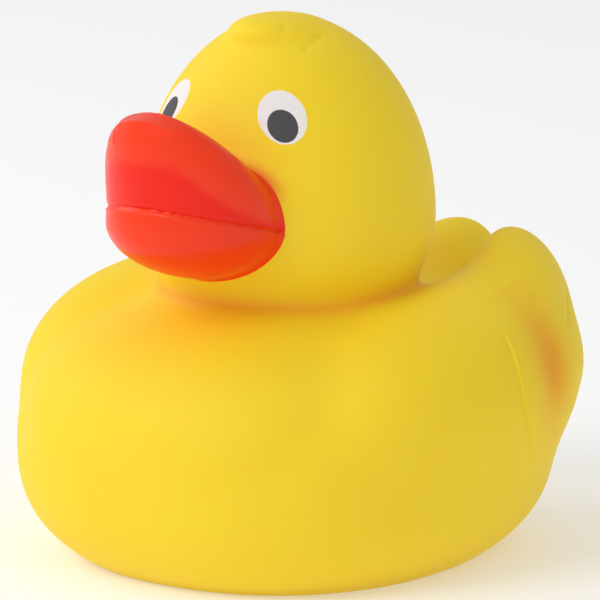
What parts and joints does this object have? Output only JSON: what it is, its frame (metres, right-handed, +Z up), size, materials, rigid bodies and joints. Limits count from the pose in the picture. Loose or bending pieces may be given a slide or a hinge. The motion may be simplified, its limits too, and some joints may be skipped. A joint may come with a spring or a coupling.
{
  "type": "rubber duck",
  "caption": "Hollow soft vinyl bath duck with a round body, swept-up wings, a tail, an egg-shaped head, a glossy painted bill, printed eyes and a squeaker in its flat base.",
  "frame": {"origin": "centre of the flat base, on the surface that the duck stands on", "axes": "+Z up, the duck faces -Y, its left wing is on +X, and the plane X=0 halves it"},
  "size_m": [0.094, 0.101, 0.0927],
  "materials": {
    "yellow_vinyl": "matte moulded vinyl, with glossy orange-red paint on the bill and printed eyes",
    "milky_plastic": "satin moulded",
    "brass_reed": "plain turned"
  },
  "bodies": {
    "root": {"duck_shell": "yellow_vinyl", "squeaker_body": "milky_plastic", "squeaker_reed": "brass_reed"}
  },
  "joints": []
}
